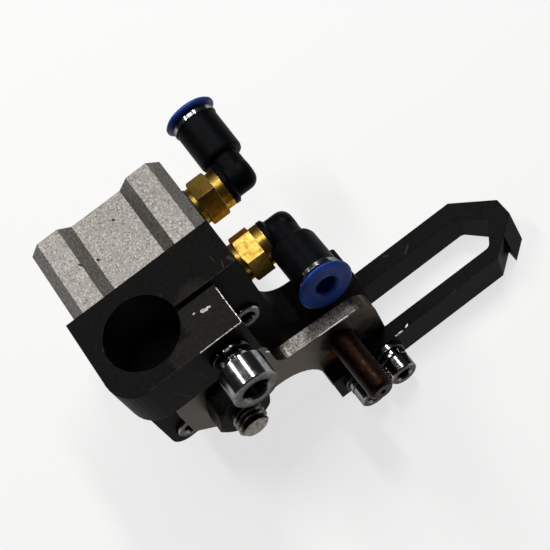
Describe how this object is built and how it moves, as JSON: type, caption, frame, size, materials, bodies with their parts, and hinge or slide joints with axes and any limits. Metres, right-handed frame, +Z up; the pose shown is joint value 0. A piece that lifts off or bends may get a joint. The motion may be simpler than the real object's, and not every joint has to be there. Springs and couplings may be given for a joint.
{
  "type": "compact air cylinder",
  "caption": "Square compact air cylinder on a split post clamp; its pin-guided rod plate carries a slotted fork arm, and swivel elbows take push-in air tubes.",
  "frame": {"origin": "centre of the square body's rear face, on the rod axis", "axes": "+Y out of the rear face along the rod (the rod comes out towards -Y), +Z up along the clamped post, +X to the air ports and the fork arm"},
  "size_m": [0.0761, 0.0661, 0.05],
  "materials": {
    "body_aluminium": "matt blasted grey extrusion with fine dark speckle and small nicks",
    "turned_aluminium": "fine turned",
    "seal_rubber": "smooth moulded nitrile",
    "bronze_bush": "sintered, oily",
    "spring_steel": "dark spring steel",
    "rod_steel": "ground rod with a cut thread",
    "black_oxide_steel": "black oxide worn bright along the edges, with scratches",
    "plated_screw_steel": "bright plating with dull handled patches",
    "rusted_pin_steel": "brown rust film over a ground pin",
    "ground_plate_steel": "dull ground plate, bright edge, rust near the pin",
    "tarnished_brass": "turned and tarnished, with bright edges",
    "black_nylon": "satin moulded glass-filled nylon",
    "blue_acetal": "smooth moulded, slightly dirty"
  },
  "bodies": {
    "cylinder_unit": {"cylinder_body": "body_aluminium", "rear_cover": "turned_aluminium", "rear_cover_seal": "seal_rubber", "rod_cover": "turned_aluminium", "rod_cover_seal": "seal_rubber", "rod_bush": "bronze_bush", "rod_seal": "seal_rubber", "circlip": "spring_steel", "clamp_bracket": "black_oxide_steel", "flange_screws": "plated_screw_steel", "clamp_screw": "plated_screw_steel", "clamp_washer": "plated_screw_steel", "guide_pin": "rusted_pin_steel", "rear_stud": "tarnished_brass", "rear_gasket": "seal_rubber", "rear_stem_seal": "seal_rubber", "front_stud": "tarnished_brass", "front_gasket": "seal_rubber", "front_stem_seal": "seal_rubber"},
    "rod_unit": {"piston": "turned_aluminium", "piston_seal": "seal_rubber", "piston_bumpers": "seal_rubber", "piston_rod": "rod_steel", "tool_plate": "ground_plate_steel", "rod_nut": "black_oxide_steel", "fork_arm": "black_oxide_steel", "arm_screws": "plated_screw_steel", "arm_flat_washers": "plated_screw_steel", "arm_spring_washers": "plated_screw_steel"},
    "rear_elbow_unit": {"rear_elbow": "black_nylon", "rear_tube_seal": "seal_rubber", "rear_grip": "spring_steel", "rear_collar": "plated_screw_steel"},
    "front_elbow_unit": {"front_elbow": "black_nylon", "front_tube_seal": "seal_rubber", "front_grip": "spring_steel", "front_collar": "plated_screw_steel"},
    "rear_ring_unit": {"rear_release_ring": "blue_acetal"},
    "front_ring_unit": {"front_release_ring": "blue_acetal"}
  },
  "joints": [
    {"name": "rod_slide", "type": "slide", "parent": "cylinder_unit", "child": "rod_unit", "axis": [0, -1, 0], "range_m": [0, 0.005]},
    {"name": "rear_elbow_swivel", "type": "hinge", "parent": "cylinder_unit", "child": "rear_elbow_unit", "pos_m": [0.0247, -0.0046, 0], "axis": [1, 0, 0], "range_deg": [-104, 76]},
    {"name": "front_elbow_swivel", "type": "hinge", "parent": "cylinder_unit", "child": "front_elbow_unit", "pos_m": [0.0247, -0.0202, 0], "axis": [-1, 0, 0], "range_deg": [0, 83]},
    {"name": "rear_ring_press", "type": "slide", "parent": "rear_elbow_unit", "child": "rear_ring_unit", "axis": [0, -0.9703, -0.2419], "range_m": [0, 0.0005], "stiffness_N_per_m": 800},
    {"name": "front_ring_press", "type": "slide", "parent": "front_elbow_unit", "child": "front_ring_unit", "axis": [0, 0.9925, -0.1219], "range_m": [0, 0.0005], "stiffness_N_per_m": 800}
  ]
}
